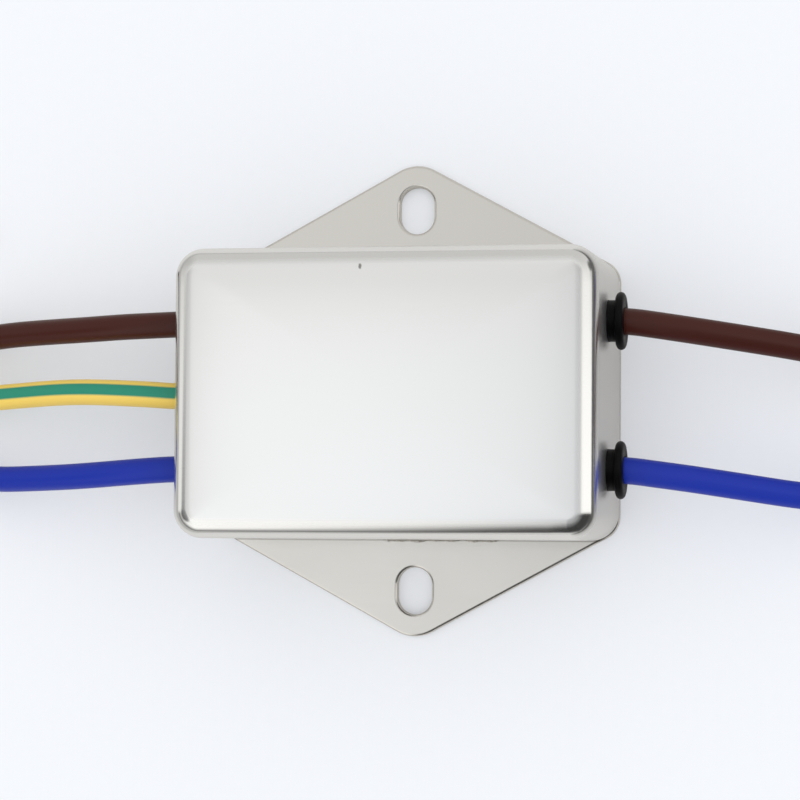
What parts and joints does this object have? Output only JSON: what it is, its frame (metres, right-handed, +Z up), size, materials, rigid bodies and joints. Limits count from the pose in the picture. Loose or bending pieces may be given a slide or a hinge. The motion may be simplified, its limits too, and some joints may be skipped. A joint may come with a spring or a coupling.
{
  "type": "line filter",
  "caption": "Chassis-mount mains interference filter in a plated steel can on a slotted plate, with insulated wire leads from both ends.",
  "frame": {"origin": "middle of the base plate, on its underside", "axes": "+X along the case from the end with three leads to the end with two, +Y from ear to ear, +Z up from the plate to the top of the can"},
  "size_m": [0.1734, 0.0514, 0.02],
  "materials": {
    "can_plating": "tin-plated drawn steel, soft gloss with faint rolling lines",
    "plate_plating": "tin-plated steel plate, satin",
    "solder": "bright tin solder",
    "grommet_rubber": "smooth black rubber, low sheen",
    "brown_pvc": "brown PVC insulation, soft gloss",
    "earth_pvc": "yellow PVC insulation with a green stripe, soft gloss",
    "blue_pvc": "blue PVC insulation, soft gloss",
    "tinned_copper": "tinned copper strands",
    "tie_nylon": "natural nylon",
    "spacer_nylon": "natural nylon",
    "board_phenolic": "phenolic paper board",
    "card_fishpaper": "vulcanised fibre card",
    "ferrite": "grey ferrite",
    "divider_plastic": "black moulded nylon",
    "enamelled_wire": "enamelled copper wire",
    "film_box": "yellow moulded case",
    "disc_coating": "blue dipped coating",
    "resistor_coating": "lacquered ceramic body",
    "lug_brass": "tinned brass strip"
  },
  "bodies": {
    "root": {"case": "can_plating", "base_plate": "plate_plating", "seam_solder": "solder", "insulation_card": "card_fishpaper", "board_spacers": "spacer_nylon", "circuit_board": "board_phenolic", "solder_joints": "solder", "earth_lug": "lug_brass", "choke_divider": "divider_plastic", "choke_core": "ferrite", "choke_winding_live": "enamelled_wire", "choke_winding_neutral": "enamelled_wire", "x_capacitor": "film_box", "y_capacitor_live": "disc_coating", "y_capacitor_neutral": "disc_coating", "bleed_resistor": "resistor_coating", "grommet_line_brown": "grommet_rubber", "grommet_line_earth": "grommet_rubber", "grommet_line_blue": "grommet_rubber", "grommet_load_brown": "grommet_rubber", "grommet_load_blue": "grommet_rubber", "lead_line_brown": "brown_pvc", "lead_line_earth": "earth_pvc", "lead_line_blue": "blue_pvc", "lead_load_brown": "brown_pvc", "lead_load_blue": "blue_pvc", "conductor_line_brown": "tinned_copper", "conductor_line_earth": "tinned_copper", "conductor_line_blue": "tinned_copper", "conductor_load_brown": "tinned_copper", "conductor_load_blue": "tinned_copper", "tie_line": "tie_nylon", "tie_load": "tie_nylon"}
  },
  "joints": []
}
